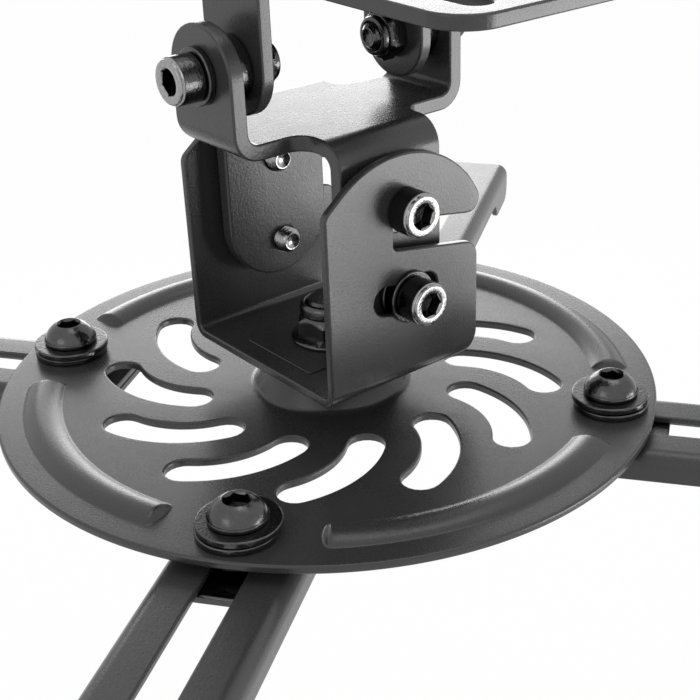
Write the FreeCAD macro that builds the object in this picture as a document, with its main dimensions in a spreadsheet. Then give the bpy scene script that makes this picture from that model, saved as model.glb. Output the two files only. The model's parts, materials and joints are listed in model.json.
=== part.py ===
import FreeCAD, Part
import math
import os
import Sketcher
from FreeCAD import Placement, Rotation, Vector

# Ceiling mount for a projector, hung from its ceiling plate.
# X runs along the tilt axis, Y along the roll axis, Z is up, and the origin
# is the middle of the ceiling plate's upper face, so that all of it is below.
# Heights in the sheet are measured up from the top of the round plate, and
# depths from the swivel axis.

os.makedirs("parts", exist_ok=True)
doc = FreeCAD.newDocument("ceiling_mount")

SIZES = {
    # where the round plate hangs under the ceiling
    "drop": 102.0, "swivel_back": 1.6,
    # fasteners
    "bolt_rad": 3.0, "bolt_hole": 3.06, "bolt_free": 3.3,
    "cap_rad": 5.0, "cap_len": 6.0, "cap_key": 2.5, "cap_deep": 3.0,
    "flat_rad": 6.0, "flat_thick": 1.6, "thin_thick": 0.95, "nut_half": 5.0, "nut_thick": 6.0,
    "roll_long": 20.0, "pivot_long": 10.0, "lock_long": 11.2,
    "seat_gap": 0.05,
    # ceiling plate
    "base_half": 70.0, "base_depth": 25.0, "base_thick": 3.0, "base_round": 9.0,
    "base_slot": 6.0, "base_slot_rad": 3.25, "base_slot_in": 14.0, "base_slot_side": 11.0,
    "base_eye": 8.0, "base_eye_out": 30.0, "tab_half": 10.0, "tab_bend": 2.0,
    "tab_gap": 4.8, "roll_post_rad": 7.0,
    # saddle
    "saddle_thick": 3.5, "web_top": 66.2, "web_bend": 2.6, "tongue_out": 22.7,
    "tongue_front": 12.6, "tongue_rear": 15.2, "tongue_low": 21.3, "tongue_round": 13.8,
    "wall_front": 29.6, "wall_rear": 32.8, "wall_half": 10.7, "wall_round": 10.4,
    "relief": 4.0, "roll_up": 79.5,
    # yoke
    "yoke_thick": 2.0, "yoke_half": 26.5, "yoke_front": 20.1, "yoke_rear": 23.1,
    "yoke_low": 8.7, "yoke_bend": 1.6, "pivot_up": 50.1, "pivot_back": 1.6,
    "arc_rad": 20.63, "arc_half": 3.35, "arc_angle": 16.3, "lock_lean": 3.06,
    "seat_half": 3.35, "notch_low": 41.35, "notch_mouth": 36.9, "notch_high": 6.75,
    "hook_mid": 0.4, "hook_up": 36.5, "hook_rad": 26.0,
    # swivel
    "stud_rad": 5.0, "stud_hole": 5.07, "stud_top": 21.2, "stud_head": 8.5, "stud_head_thick": 4.0,
    "pad_half": 12.1, "pad_front": 15.3, "pad_thick": 0.5, "lock_nut_rad": 7.9, "lock_nut_flange": 9.0,
    "disc_rad": 12.2, "disc_thick": 0.6,
    # round plate
    "plate_rad": 78.0, "plate_thick": 2.0, "hub_foot": 18.6, "hub_rim": 13.4, "hub_up": 8.0,
    "plate_turn": 35.5, "screw_out": 67.3, "bead_high": 1.8, "bead_half": 4.0, "bead_span": 31.0,
    "bead_turn": 45.0,
    "swirl_out": 32.4, "swirl_rad": 24.5, "swirl_half": 4.25, "swirl_turn": -14.5,
    "swirl_from": 8.3, "swirl_to": 66.6,
    # arms
    "arm_half": 14.4, "arm_thick": 1.8, "arm_top": 4.35, "arm_deep": 11.35, "ear_deep": 16.4,
    "arm_bend": 1.8, "arm_inner": 53.0, "arm_outer": 171.0, "ear_long": 22.0,
    "arm_slot_in": 8.3, "arm_slot_end": 32.0, "arm_slot_half": 3.95, "arm_eye_end": 13.0,
    "arm_eye_rad": 2.75,
    "grip_half": 10.4, "grip_long": 14.2, "grip_thick": 2.0,
    "pan_rad": 6.3, "pan_high": 3.6, "pan_key": 2.0, "pan_deep": 2.2,
    "big_rad": 8.9, "big_thick": 1.55, "post_rad": 8.0,
}
sheet = doc.addObject("Spreadsheet::Sheet", "sizes")
for row, (name, value) in enumerate(SIZES.items(), 1):
    sheet.set("A%d" % row, name)
    sheet.set("B%d" % row, str(value))
    sheet.setAlias("B%d" % row, name)
doc.recompute()


def value(text):
    """Works out a sum of sheet names, such as 'web_top - saddle_thick'."""
    total, sign = 0.0, 1.0
    words = text.replace("-", " - ").replace("+", " + ").replace("*", " * ").split()
    term = None
    for word in words + ["+"]:
        if word in "+-":
            if term is not None:
                total += sign * term
                term, sign = None, 1.0
            if word == "-":
                sign = -sign
        elif word != "*":
            amount = float(word) if word[0].isdigit() else float(sheet.get(word))
            term = amount if term is None else term * amount
    return total


def cells(text):
    """The same sum as a FreeCAD expression over the sheet's cells."""
    words = text.replace("-", " - ").replace("+", " + ").replace("*", " * ").split()
    return " ".join("sizes." + w if w[0].isalpha() else w for w in words)


def minus(text):
    """The same sum with every sign turned."""
    return "0 - " + text.replace(" + ", " ~ ").replace(" - ", " + ").replace(" ~ ", " - ")


def plane(body, role):
    return next(f for f in body.Origin.OriginFeatures if f.Role == role)


def new_body(label):
    body = doc.addObject("PartDesign::Body", label)
    body.Label = label
    return body


def new_sketch(body, name, role, offset=None, turn=None):
    sketch = body.newObject("Sketcher::SketchObject", name)
    sketch.AttachmentSupport = [(plane(body, role), "")]
    sketch.MapMode = "FlatFace"
    if turn is not None:
        sketch.AttachmentOffset = Placement(Vector(), Rotation(Vector(0, 1, 0), turn))
    if offset is not None:
        sketch.setExpression("AttachmentOffset.Base.z", cells(offset))
    return sketch


def hold(sketch, kind, parts, text):
    """Adds a constraint whose size is an expression over the sheet."""
    sketch.addConstraint(Sketcher.Constraint(kind, *parts, value(text)))
    sketch.setExpression("Constraints[%d]" % (sketch.ConstraintCount - 1), cells(text))


def hold_point(sketch, geo, pos, x, y):
    hold(sketch, "DistanceX", (-1, 1, geo, pos), x)
    hold(sketch, "DistanceY", (-1, 1, geo, pos), y)


def outline(sketch, corners):
    """A closed outline of straight runs. Each corner is (x, y, radius) in
    sheet names, and is held as a point; a radius of None leaves it sharp."""
    pts = [Vector(value(c[0]), value(c[1]), 0) for c in corners]
    rads = [0.0 if c[2] is None else value(c[2]) for c in corners]
    count = len(pts)
    ins, outs, mids = [], [], []
    for i in range(count):
        a, p, b = pts[i - 1], pts[i], pts[(i + 1) % count]
        u, v = (a - p).normalize(), (b - p).normalize()
        if rads[i] == 0:
            ins.append(p), outs.append(p), mids.append(None)
            continue
        half = u.getAngle(v) / 2
        reach = rads[i] / math.tan(half)
        w = (u + v).normalize()
        ins.append(p + u * reach)
        outs.append(p + v * reach)
        mids.append(p + w * (rads[i] / math.sin(half) - rads[i]))
    base = sketch.GeometryCount
    for i in range(count):
        sketch.addGeometry(Part.LineSegment(outs[i], ins[(i + 1) % count]), False)
    arcs = {}
    for i in range(count):
        if mids[i] is not None:
            arcs[i] = sketch.addGeometry(Part.Arc(ins[i], mids[i], outs[i]), False)
    for i in range(count):
        before, after = base + (i - 1) % count, base + i
        if mids[i] is None:
            sketch.addConstraint(Sketcher.Constraint("Coincident", before, 2, after, 1))
            hold_point(sketch, after, 1, corners[i][0], corners[i][1])
            continue
        arc = arcs[i]
        start = sketch.getPoint(arc, 1)
        near = 1 if (start - ins[i]).Length < (start - outs[i]).Length else 2
        sketch.addConstraint(Sketcher.Constraint("Tangent", before, 2, arc, near))
        sketch.addConstraint(Sketcher.Constraint("Tangent", after, 1, arc, 3 - near))
        hold(sketch, "Radius", (arc,), corners[i][2])
        dot = sketch.addGeometry(Part.Point(pts[i]), True)
        hold_point(sketch, dot, 1, corners[i][0], corners[i][1])
        sketch.addConstraint(Sketcher.Constraint("PointOnObject", dot, 1, before))
        sketch.addConstraint(Sketcher.Constraint("PointOnObject", dot, 1, after))


def frame(sketch, x0, y0, x1, y1):
    outline(sketch, [(x0, y0, None), (x1, y0, None), (x1, y1, None), (x0, y1, None)])


def ring(sketch, x, y, radius):
    geo = sketch.addGeometry(Part.Circle(Vector(value(x), value(y), 0), Vector(0, 0, 1), value(radius)),
                             False)
    hold_point(sketch, geo, 3, x, y)
    hold(sketch, "Radius", (geo,), radius)


def oblong(sketch, x0, y0, x1, y1, radius):
    """A straight slot between two centres."""
    a, b = Vector(value(x0), value(y0), 0), Vector(value(x1), value(y1), 0)
    r = value(radius)
    d = (b - a).normalize()
    n = Vector(-d.y, d.x, 0)
    e1 = sketch.addGeometry(Part.Arc(a + n * r, a - d * r, a - n * r), False)
    l1 = sketch.addGeometry(Part.LineSegment(a - n * r, b - n * r), False)
    e2 = sketch.addGeometry(Part.Arc(b - n * r, b + d * r, b + n * r), False)
    l2 = sketch.addGeometry(Part.LineSegment(b + n * r, a + n * r), False)
    for line, pos, arc, spot in ((l1, 1, e1, a - n * r), (l1, 2, e2, b - n * r),
                                 (l2, 1, e2, b + n * r), (l2, 2, e1, a + n * r)):
        near = 1 if (sketch.getPoint(arc, 1) - spot).Length < (sketch.getPoint(arc,
                                                                               2) - spot).Length else 2
        sketch.addConstraint(Sketcher.Constraint("Tangent", line, pos, arc, near))
    hold_point(sketch, e1, 3, x0, y0)
    hold_point(sketch, e2, 3, x1, y1)
    hold(sketch, "Radius", (e1,), radius)


def banana(sketch, cx, cy, mean, half, low, high):
    """A curved slot round (cx, cy) between two angles in degrees."""
    c = Vector(value(cx), value(cy), 0)
    r, w = value(mean), value(half)

    def at(radius, angle):
        angle = math.radians(angle)
        return c + Vector(math.cos(angle) * radius, math.sin(angle) * radius, 0)

    mid = (low + high) / 2
    outer = sketch.addGeometry(Part.Arc(at(r + w, low), at(r + w, mid), at(r + w, high)), False)
    inner = sketch.addGeometry(Part.Arc(at(r - w, low), at(r - w, mid), at(r - w, high)), False)
    ends = []
    for angle, side in ((low, -1), (high, 1)):
        tip = at(r, angle) + (at(r, angle + 90 * side) - c).normalize() * w
        ends.append(sketch.addGeometry(Part.Arc(at(r - w, angle), tip, at(r + w, angle)), False))
    for arc, angle, end in ((outer, low, ends[0]), (outer, high, ends[1]),
                            (inner, low, ends[0]), (inner, high, ends[1])):
        spot = at(r + w if arc == outer else r - w, angle)
        p = 1 if (sketch.getPoint(arc, 1) - spot).Length < (sketch.getPoint(arc, 2) - spot).Length else 2
        q = 1 if (sketch.getPoint(end, 1) - spot).Length < (sketch.getPoint(end, 2) - spot).Length else 2
        sketch.addConstraint(Sketcher.Constraint("Tangent", arc, p, end, q))
    hold_point(sketch, outer, 3, cx, cy)
    hold_point(sketch, inner, 3, cx, cy)
    hold(sketch, "Radius", (outer,), mean + " + " + half)
    hold(sketch, "Radius", (inner,), mean + " - " + half)
    for end, angle in zip(ends, (low, high)):
        across = math.cos(math.radians(angle))
        hold(sketch, "DistanceX", (-1, 1, end, 3),
             "%s %s %.9f * %s" % (cx, "-" if across < 0 else "+", abs(across), mean))


def hexagon(sketch, x, y, half):
    """A hexagon whose flats stand half away from its middle."""
    c = Vector(value(x), value(y), 0)
    reach = value(half) / math.cos(math.pi / 6)
    pts = [c + Vector(math.cos(k * math.pi / 3) * reach, math.sin(k * math.pi / 3) * reach,
                      0) for k in range(6)]
    base = sketch.GeometryCount
    for k in range(6):
        sketch.addGeometry(Part.LineSegment(pts[k], pts[(k + 1) % 6]), False)
    for k in range(6):
        sketch.addConstraint(Sketcher.Constraint("Coincident", base + k, 2, base + (k + 1) % 6, 1))
    guide = sketch.addGeometry(Part.Circle(c, Vector(0, 0, 1), value(half)), True)
    hold_point(sketch, guide, 3, x, y)
    hold(sketch, "Radius", (guide,), half)
    for k in range(6):
        sketch.addConstraint(Sketcher.Constraint("Tangent", base + k, guide))
    for k in range(5):
        sketch.addConstraint(Sketcher.Constraint("Equal", base + k, base + k + 1))
    sketch.addConstraint(Sketcher.Constraint("Horizontal", base + 1))


def pad(body, sketch, length, both=False, back=False):
    feature = body.newObject("PartDesign::Pad", sketch.Name + "_pad")
    feature.Profile = sketch
    feature.setExpression("Length", cells(length))
    feature.Midplane = both
    feature.Reversed = back
    body.Tip = feature
    doc.recompute()
    return feature


def pocket(body, sketch, length=None, both=True, back=False):
    before = body.Shape.Volume
    feature = body.newObject("PartDesign::Pocket", sketch.Name + "_cut")
    feature.Profile = sketch
    if length is None:
        feature.Type = "ThroughAll"
    else:
        feature.setExpression("Length", cells(length))
    feature.Midplane = both
    feature.Reversed = back
    body.Tip = feature
    doc.recompute()
    if body.Shape.Volume > before - 0.01:
        raise RuntimeError(feature.Name + " cut nothing")
    return feature


def revolve(body, sketch, angle=360.0, axis="V_Axis", groove=False, both=False):
    before = body.Shape.Volume if groove else 0.0
    kind = "PartDesign::Groove" if groove else "PartDesign::Revolution"
    feature = body.newObject(kind, sketch.Name + "_turn")
    feature.Profile = sketch
    feature.ReferenceAxis = (sketch, [axis])
    feature.Angle = angle
    feature.Midplane = both
    body.Tip = feature
    doc.recompute()
    if groove and body.Shape.Volume > before - 0.01:
        raise RuntimeError(feature.Name + " cut nothing")
    return feature


def spin(body, features, count):
    pattern = body.newObject("PartDesign::PolarPattern", features[0].Name + "_ring")
    pattern.Originals = features
    pattern.Axis = (plane(body, "Z_Axis"), [""])
    pattern.Angle = 360.0
    pattern.Occurrences = count
    body.Tip = pattern
    doc.recompute()
    return pattern


def place(thing, x="0", y="0", z="0", axis=Vector(0, 0, 1), turn=0.0):
    """Sets a node's place, in row axes, from sums over the sheet."""
    thing.Placement = Placement(Vector(value(x), value(y), value(z)), Rotation(axis, turn))
    for letter, text in (("x", x), ("y", y), ("z", z)):
        thing.setExpression("Placement.Base." + letter, cells(text))


# Ceiling plate: a flat plate with slots for the ceiling screws, a cable eye,
# and two rounded tabs folded down inside the saddle's upright walls.
body = new_body("ceiling_plate")
sk = new_sketch(body, "base_outline", "XY_Plane")
outline(sk,
        [("0 - base_half", "0 - base_depth", "base_round"), ("base_half", "0 - base_depth", "base_round"),
             ("base_half", "base_depth", "base_round"), ("0 - base_half", "base_depth", "base_round")])
pad(body, sk, "base_thick", back=True)
sk = new_sketch(body, "tab_section", "YZ_Plane")
out = "0.5 * wall_front + 0.5 * wall_rear - saddle_thick - tab_gap"
neg = minus(out)
low = "roll_up - drop - tab_half"
outline(sk, [(neg, "0", "tab_bend + base_thick"), (out, "0", "tab_bend + base_thick"), (out, low, None),
             (out + " - base_thick", low, None), (out + " - base_thick", "0 - base_thick", "tab_bend"),
             (neg + " + base_thick", "0 - base_thick", "tab_bend"), (neg + " + base_thick", low, None),
             (neg, low, None)])
pad(body, sk, "2 * tab_half", both=True)
sk = new_sketch(body, "tab_ends", "XZ_Plane")
axle = "roll_up - drop"
outline(sk, [("0 - 2 * tab_half", axle, None), ("0 - 2 * tab_half", axle + " - 2 * tab_half", None),
             ("2 * tab_half", axle + " - 2 * tab_half", None), ("2 * tab_half", axle, None),
             ("tab_half", axle, None), ("tab_half", low, "tab_half - 0.1"),
             ("0 - tab_half", low, "tab_half - 0.1"), ("0 - tab_half", axle, None)])
pocket(body, sk)
sk = new_sketch(body, "tab_holes", "XZ_Plane")
ring(sk, "0", axle, "bolt_hole")
pocket(body, sk)
sk = new_sketch(body, "base_slots", "XY_Plane")
slot_near, slot_far = "base_half - base_slot_in - base_slot", "base_half - base_slot_in + base_slot"
slot_side = "base_depth - base_slot_side"
for side in (slot_side, minus(slot_side)):
    oblong(sk, slot_near, side, slot_far, side, "base_slot_rad")
    oblong(sk, minus(slot_far), side, minus(slot_near), side, "base_slot_rad")
ring(sk, "base_eye_out", "0", "base_eye")
ring(sk, "0 - base_eye_out", "0", "base_eye")
pocket(body, sk)
place(body)

# Saddle: one cross-shaped sheet. Its left and right tongues fold down and
# carry the tilt screws; its front and rear walls fold up and carry the roll screws.
# The lock screws sit under the pivots, leaning a little to the rear.
LOCK_Y = "pivot_back + %.9f * arc_rad" % math.sin(math.radians(value("lock_lean")))
LOCK_Z = "pivot_up - %.9f * arc_rad" % math.cos(math.radians(value("lock_lean")))
body = new_body("tilt_saddle")
sk = new_sketch(body, "tongue_section", "XZ_Plane")
outline(sk,
        [("0 - tongue_out", "web_top", "web_bend + saddle_thick"),
         ("tongue_out", "web_top", "web_bend + saddle_thick"),
             ("tongue_out", "tongue_low", None), ("tongue_out - saddle_thick", "tongue_low", None),
             ("tongue_out - saddle_thick", "web_top - saddle_thick", "web_bend"),
             ("0 - tongue_out + saddle_thick", "web_top - saddle_thick", "web_bend"),
             ("0 - tongue_out + saddle_thick", "tongue_low", None),
             ("0 - tongue_out", "tongue_low", None)])
pad(body, sk, "2 * tongue_rear", both=True)
sk = new_sketch(body, "tongue_side", "YZ_Plane")
frame(sk, "0 - 2 * tongue_rear", "tongue_low - 5", "2 * tongue_rear", "web_top + 5")
outline(sk,
        [("0 - tongue_front", "tongue_low", "tongue_round"),
         ("tongue_rear", "tongue_low", "tongue_round"),
             ("tongue_rear", "web_top + 2", None), ("0 - tongue_front", "web_top + 2", None)])
pocket(body, sk)
sk = new_sketch(body, "wall_section", "YZ_Plane")
outline(sk, [("0 - wall_front", "web_top - saddle_thick", "web_bend + saddle_thick"),
             ("wall_rear", "web_top - saddle_thick", "web_bend + saddle_thick"),
             ("wall_rear", "roll_up + wall_round", None),
             ("wall_rear - saddle_thick", "roll_up + wall_round", None),
             ("wall_rear - saddle_thick", "web_top", "web_bend"),
             ("0 - wall_front + saddle_thick", "web_top", "web_bend"),
             ("0 - wall_front + saddle_thick", "roll_up + wall_round", None),
             ("0 - wall_front", "roll_up + wall_round", None)])
pad(body, sk, "2 * wall_half", both=True)
sk = new_sketch(body, "wall_ends", "XZ_Plane")
outline(sk, [("0 - 2 * wall_half", "roll_up - 2", None), ("0 - wall_half", "roll_up - 2", None),
             ("0 - wall_half", "roll_up + wall_round", "wall_round"),
             ("wall_half", "roll_up + wall_round", "wall_round"),
             ("wall_half", "roll_up - 2", None), ("2 * wall_half", "roll_up - 2", None),
             ("2 * wall_half", "roll_up + 2 * wall_round", None),
             ("0 - 2 * wall_half", "roll_up + 2 * wall_round", None)])
pocket(body, sk)
sk = new_sketch(body, "roll_holes", "XZ_Plane")
ring(sk, "0", "roll_up", "bolt_hole")
pocket(body, sk)
sk = new_sketch(body, "tongue_holes", "YZ_Plane")
ring(sk, "pivot_back", "pivot_up", "bolt_rad")
ring(sk, LOCK_Y, LOCK_Z, "bolt_rad")
pocket(body, sk)
sk = new_sketch(body, "web_plan", "XY_Plane", offset="web_top")
edge, fore, aft = "tongue_out - web_bend - saddle_thick", "0 - wall_front + web_bend + saddle_thick", \
    "wall_rear - web_bend - saddle_thick"
port = "0 - tongue_out + web_bend + saddle_thick"
outline(sk,
        [("0 - wall_half", fore, None), ("wall_half", fore, None),
         ("wall_half", "0 - tongue_front", "relief"),
             (edge, "0 - tongue_front", None), (edge, "tongue_rear", None),
             ("wall_half", "tongue_rear", "relief"),
             ("wall_half", aft, None), ("0 - wall_half", aft, None),
             ("0 - wall_half", "tongue_rear", "relief"),
             (port, "tongue_rear", None), (port, "0 - tongue_front", None),
             ("0 - wall_half", "0 - tongue_front", "relief")])
pad(body, sk, "saddle_thick", back=True)
place(body, y="0 - swivel_back", z="0 - drop")

# Yoke: a folded U. Each cheek has a hooked notch that lets it drop over the
# pivot screw from the rear, and a curved slot for the lock screw.
body = new_body("tilt_yoke")
sk = new_sketch(body, "yoke_section", "XZ_Plane")
top = "hook_up + hook_rad + 1"
outline(sk,
        [("0 - yoke_half", "yoke_low", "yoke_bend + yoke_thick"),
         ("yoke_half", "yoke_low", "yoke_bend + yoke_thick"),
             ("yoke_half", top, None), ("yoke_half - yoke_thick", top, None),
             ("yoke_half - yoke_thick", "yoke_low + yoke_thick", "yoke_bend"),
             ("0 - yoke_half + yoke_thick", "yoke_low + yoke_thick", "yoke_bend"),
             ("0 - yoke_half + yoke_thick", top, None), ("0 - yoke_half", top, None)])
pad(body, sk, "2 * yoke_rear + 6", both=True)
sk = new_sketch(body, "cheek_side", "YZ_Plane")
frame(sk, "0 - 2 * yoke_rear", "yoke_low - 5", "2 * yoke_rear", "hook_up + hook_rad + 5")
outline(sk, [("0 - yoke_front", "yoke_low", "0.8"), ("yoke_rear", "yoke_low", "4.5"),
             ("yoke_rear", "notch_mouth", "4.0"), ("pivot_back - seat_half", "notch_low", "1.2"),
             ("pivot_back - seat_half", "pivot_up + seat_half", "seat_half - 0.02"),
             ("pivot_back + seat_half", "pivot_up + seat_half", "seat_half - 0.02"),
             ("pivot_back + seat_half", "notch_low + notch_high - 1.12", "1.0"),
             ("hook_mid + 0.9962 * hook_rad", "hook_up + 0.2577 * hook_rad", "0.12 * hook_rad"),
             ("hook_mid + 0.7831 * hook_rad", "hook_up + 0.6569 * hook_rad", "0.96 * hook_rad"),
             ("hook_mid + 0.3442 * hook_rad", "hook_up + hook_rad", "0.96 * hook_rad"),
             ("hook_mid - 0.3442 * hook_rad", "hook_up + hook_rad", "0.96 * hook_rad"),
             ("0 - yoke_front", "hook_up + 0.6538 * hook_rad", "0.115 * hook_rad")])
pocket(body, sk)
sk = new_sketch(body, "lock_arc", "YZ_Plane")
DOWN = -90.0
banana(sk, "pivot_back", "pivot_up", "arc_rad", "arc_half", DOWN - value("arc_angle"),
       DOWN + value("arc_angle"))
pocket(body, sk)
sk = new_sketch(body, "floor_hole", "XY_Plane", offset="yoke_low + yoke_thick")
ring(sk, "0", "0", "stud_hole")
pocket(body, sk, length="2 * yoke_thick", both=True)
place(body, y="0 - swivel_back", z="0 - drop")

# Swivel: a stud up through the round plate's hub and the yoke's floor, with a
# slippery disc between hub and yoke, a thin pad and a flanged lock nut.
body = new_body("swivel_stud")
sk = new_sketch(body, "stud_profile", "XZ_Plane")
under = "hub_up - plate_thick - seat_gap"
outline(sk,
        [("0", under + " - stud_head_thick", None), ("stud_head", under + " - stud_head_thick", "0.8"),
             ("stud_head", under, None), ("stud_rad", under, None), ("stud_rad", "stud_top - 0.8", None),
             ("stud_rad - 0.8", "stud_top", None), ("0", "stud_top", None)])
revolve(body, sk)
place(body, y="0 - swivel_back", z="0 - drop")

body = new_body("swivel_disc")
sk = new_sketch(body, "disc_face", "XY_Plane", offset="yoke_low")
ring(sk, "0", "0", "disc_rad")
ring(sk, "0", "0", "stud_hole")
pad(body, sk, "disc_thick", back=True)
place(body, y="0 - swivel_back", z="0 - drop")

body = new_body("swivel_pad")
floor = "yoke_low + yoke_thick"
sk = new_sketch(body, "pad_face", "XY_Plane", offset=floor)
outline(sk, [("0 - pad_half", "0 - pad_front", "1.0"), ("pad_half", "0 - pad_front", "1.0"),
             ("pad_half", "pad_front", "1.0"), ("0 - pad_half", "pad_front", "1.0")])
ring(sk, "0", "0", "stud_hole")
pad(body, sk, "pad_thick")
place(body, y="0 - swivel_back", z="0 - drop")

body = new_body("swivel_nut")
sk = new_sketch(body, "nut_flange", "XZ_Plane")
low = floor + " + pad_thick"
outline(sk,
        [("stud_hole", low, None), ("lock_nut_flange", low, "0.3"),
         ("lock_nut_flange", low + " + 0.9", None),
             ("lock_nut_rad", low + " + 2.2", None), ("stud_hole", low + " + 2.2", None)])
revolve(body, sk)
sk = new_sketch(body, "nut_hex", "XY_Plane", offset=low)
hexagon(sk, "0", "0", "0.93 * lock_nut_rad")
ring(sk, "0", "0", "stud_hole")
pad(body, sk, "stud_top - yoke_low - yoke_thick - pad_thick - 3.2")
sk = new_sketch(body, "nut_collar", "XZ_Plane")
outline(sk, [("stud_hole", "stud_top - 4.2", None), ("0.9 * lock_nut_rad", "stud_top - 4.2", None),
             ("0.9 * lock_nut_rad", "stud_top - 1.1", "0.9"), ("stud_hole", "stud_top - 1.1", None)])
revolve(body, sk)
place(body, y="0 - swivel_back", z="0 - drop")

# Round plate: a raised hub, twelve swirled slots, four pressed beads and four screw holes.
body = new_body("round_plate")
sk = new_sketch(body, "plate_profile", "XZ_Plane")
outline(sk,
        [("stud_hole", "hub_up - plate_thick", None), ("hub_rim - 1.1", "hub_up - plate_thick", "0.8"),
             ("hub_foot - 1.4", "0 - plate_thick", "3.5"), ("plate_rad", "0 - plate_thick", "0.5"),
             ("plate_rad", "0", "0.5"), ("hub_foot", "0", "2.0"), ("hub_rim", "hub_up", "2.5"),
             ("stud_hole", "hub_up", None)])
revolve(body, sk)
arch = (value("bead_half") ** 2 + value("bead_high") ** 2) / (2 * value("bead_high"))
deep = value("bead_high") - arch


def bead(name, angle, radius, dip, groove, dome, both):
    """One stretch of a pressed bead: an arc of a circle in a radial plane,
    turned about the plate's axis, or about its own upright for the rounded end."""
    sk = new_sketch(body, name, "XZ_Plane", turn=angle)
    mid = value("screw_out")
    reach = math.sqrt(radius ** 2 - (deep - dip) ** 2)
    low = Vector(mid - reach, dip, 0) if not dome else Vector(mid, dip, 0)
    crest, far = Vector(mid, deep + radius, 0), Vector(mid + reach, dip, 0)
    side = Vector(mid + radius * math.sin(0.5), deep + radius * math.cos(0.5), 0)
    arc = sk.addGeometry(Part.Arc(crest if dome else low, side if dome else crest, far), False)
    sk.addGeometry(Part.LineSegment(far, low), False)
    sk.addConstraint(Sketcher.Constraint("Radius", arc, radius))
    sk.addConstraint(Sketcher.Constraint("DistanceY", -1, 1, arc, 3, deep))
    if dome:
        sk.addGeometry(Part.LineSegment(low, crest), False)
        axis = sk.addGeometry(Part.LineSegment(Vector(mid, -5, 0), Vector(mid, 5, 0)), True)
        hold(sk, "DistanceX", (-1, 1, axis, 1), "screw_out")
        hold(sk, "DistanceX", (-1, 1, axis, 2), "screw_out")
        return revolve(body, sk, 360.0, "Axis0", groove)
    hold(sk, "DistanceX", (-1, 1, arc, 3), "screw_out")
    return revolve(body, sk, 2 * value("bead_span"), "V_Axis", groove, both)


span, turned = value("bead_span"), value("bead_turn")
ridges = [bead("bead_run", -turned, arch, -0.6, False, False, True),
          bead("bead_end_a", -turned - span, arch, -0.6, False, True, False),
          bead("bead_end_b", -turned + span, arch, -0.6, False, True, False)]
spin(body, ridges, 4)
thin = arch - value("plate_thick")
hollows = [bead("under_run", -turned, thin, -2.6, True, False, True),
           bead("under_end_a", -turned - span, thin, -2.6, True, True, False),
           bead("under_end_b", -turned + span, thin, -2.6, True, True, False)]
spin(body, hollows, 4)
sk = new_sketch(body, "screw_hole", "XY_Plane")
ring(sk, "screw_out", "0", "bolt_hole")
hole = pocket(body, sk, length="4 * plate_thick", both=True)
spin(body, [hole], 4)
sk = new_sketch(body, "swirl_slot", "XY_Plane")
turn = math.radians(value("swirl_turn"))
SLOT = value("swirl_turn") + 43.9
banana(sk, "%.9f * swirl_out" % math.cos(turn), "0 - %.9f * swirl_out" % -math.sin(turn), "swirl_rad",
       "swirl_half", value("swirl_from") + SLOT, value("swirl_to") + SLOT)
slot = pocket(body, sk, length="4 * plate_thick", both=True)
spin(body, [slot], 12)
place(body, y="0 - swivel_back", z="0 - drop", turn=value("plate_turn"))


def cap_screw(label, length, x, y, z, axis, turn, washer=False):
    """Socket cap screw pointing along its own +Z, with its head behind."""
    body = new_body(label)
    sk = new_sketch(body, label + "_profile", "XZ_Plane")
    outline(sk, [("0", "0 - cap_len", None), ("cap_rad", "0 - cap_len", "0.6"), ("cap_rad", "0", None),
                 ("bolt_rad", "0", None), ("bolt_rad", length + " - 0.6", None),
                 ("bolt_rad - 0.6", length, None), ("0", length, None)])
    revolve(body, sk)
    sk = new_sketch(body, label + "_socket", "XY_Plane", offset="0 - cap_len")
    hexagon(sk, "0", "0", "cap_key")
    pocket(body, sk, length="cap_deep", both=False, back=True)
    place(body, x, y, z, axis, turn)
    return body


def washer(label, outer, thick, x, y, z, axis=Vector(0, 0, 1), turn=0.0, hole="bolt_hole"):
    body = new_body(label)
    sk = new_sketch(body, label + "_face", "XY_Plane")
    ring(sk, "0", "0", outer)
    ring(sk, "0", "0", hole)
    pad(body, sk, thick)
    place(body, x, y, z, axis, turn)
    return body


def hex_nut(label, x, y, z, axis=Vector(0, 0, 1), turn=0.0):
    """Nut with a rounded collar for its locking ring, growing along its own +Z."""
    body = new_body(label)
    sk = new_sketch(body, label + "_hex", "XY_Plane")
    hexagon(sk, "0", "0", "nut_half")
    ring(sk, "0", "0", "bolt_hole")
    pad(body, sk, "nut_thick - 1.5")
    sk = new_sketch(body, label + "_collar", "XZ_Plane")
    outline(sk, [("bolt_hole", "nut_thick - 3", None), ("nut_half - 0.1", "nut_thick - 3", None),
                 ("nut_half - 0.1", "nut_thick", "0.9"), ("bolt_hole", "nut_thick", None)])
    revolve(body, sk)
    place(body, x, y, z, axis, turn)
    return body


# Roll screws, through the saddle's walls and a spacer into the ceiling plate's tabs.
wall = "0.5 * wall_front + 0.5 * wall_rear"
ALONG = Vector(1, 0, 0)
for label, out, turn in (("front", minus, -90.0), ("rear", str, 90.0)):
    under_head = out(wall + " + seat_gap + flat_thick")
    cap_screw("roll_screw_" + label, "roll_long", "0", under_head, "roll_up - drop", ALONG, turn)
    washer("roll_washer_" + label, "flat_rad", "flat_thick", "0", under_head, "roll_up - drop", ALONG,
           turn)
    washer("roll_spacer_" + label, "roll_post_rad", "tab_gap - 2 * seat_gap", "0",
           out(wall + " - saddle_thick - seat_gap"),
           "roll_up - drop", ALONG, turn)
    hex_nut("roll_nut_" + label, "0", out(wall + " - saddle_thick - tab_gap - base_thick"),
            "roll_up - drop",
            ALONG, turn)

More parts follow.
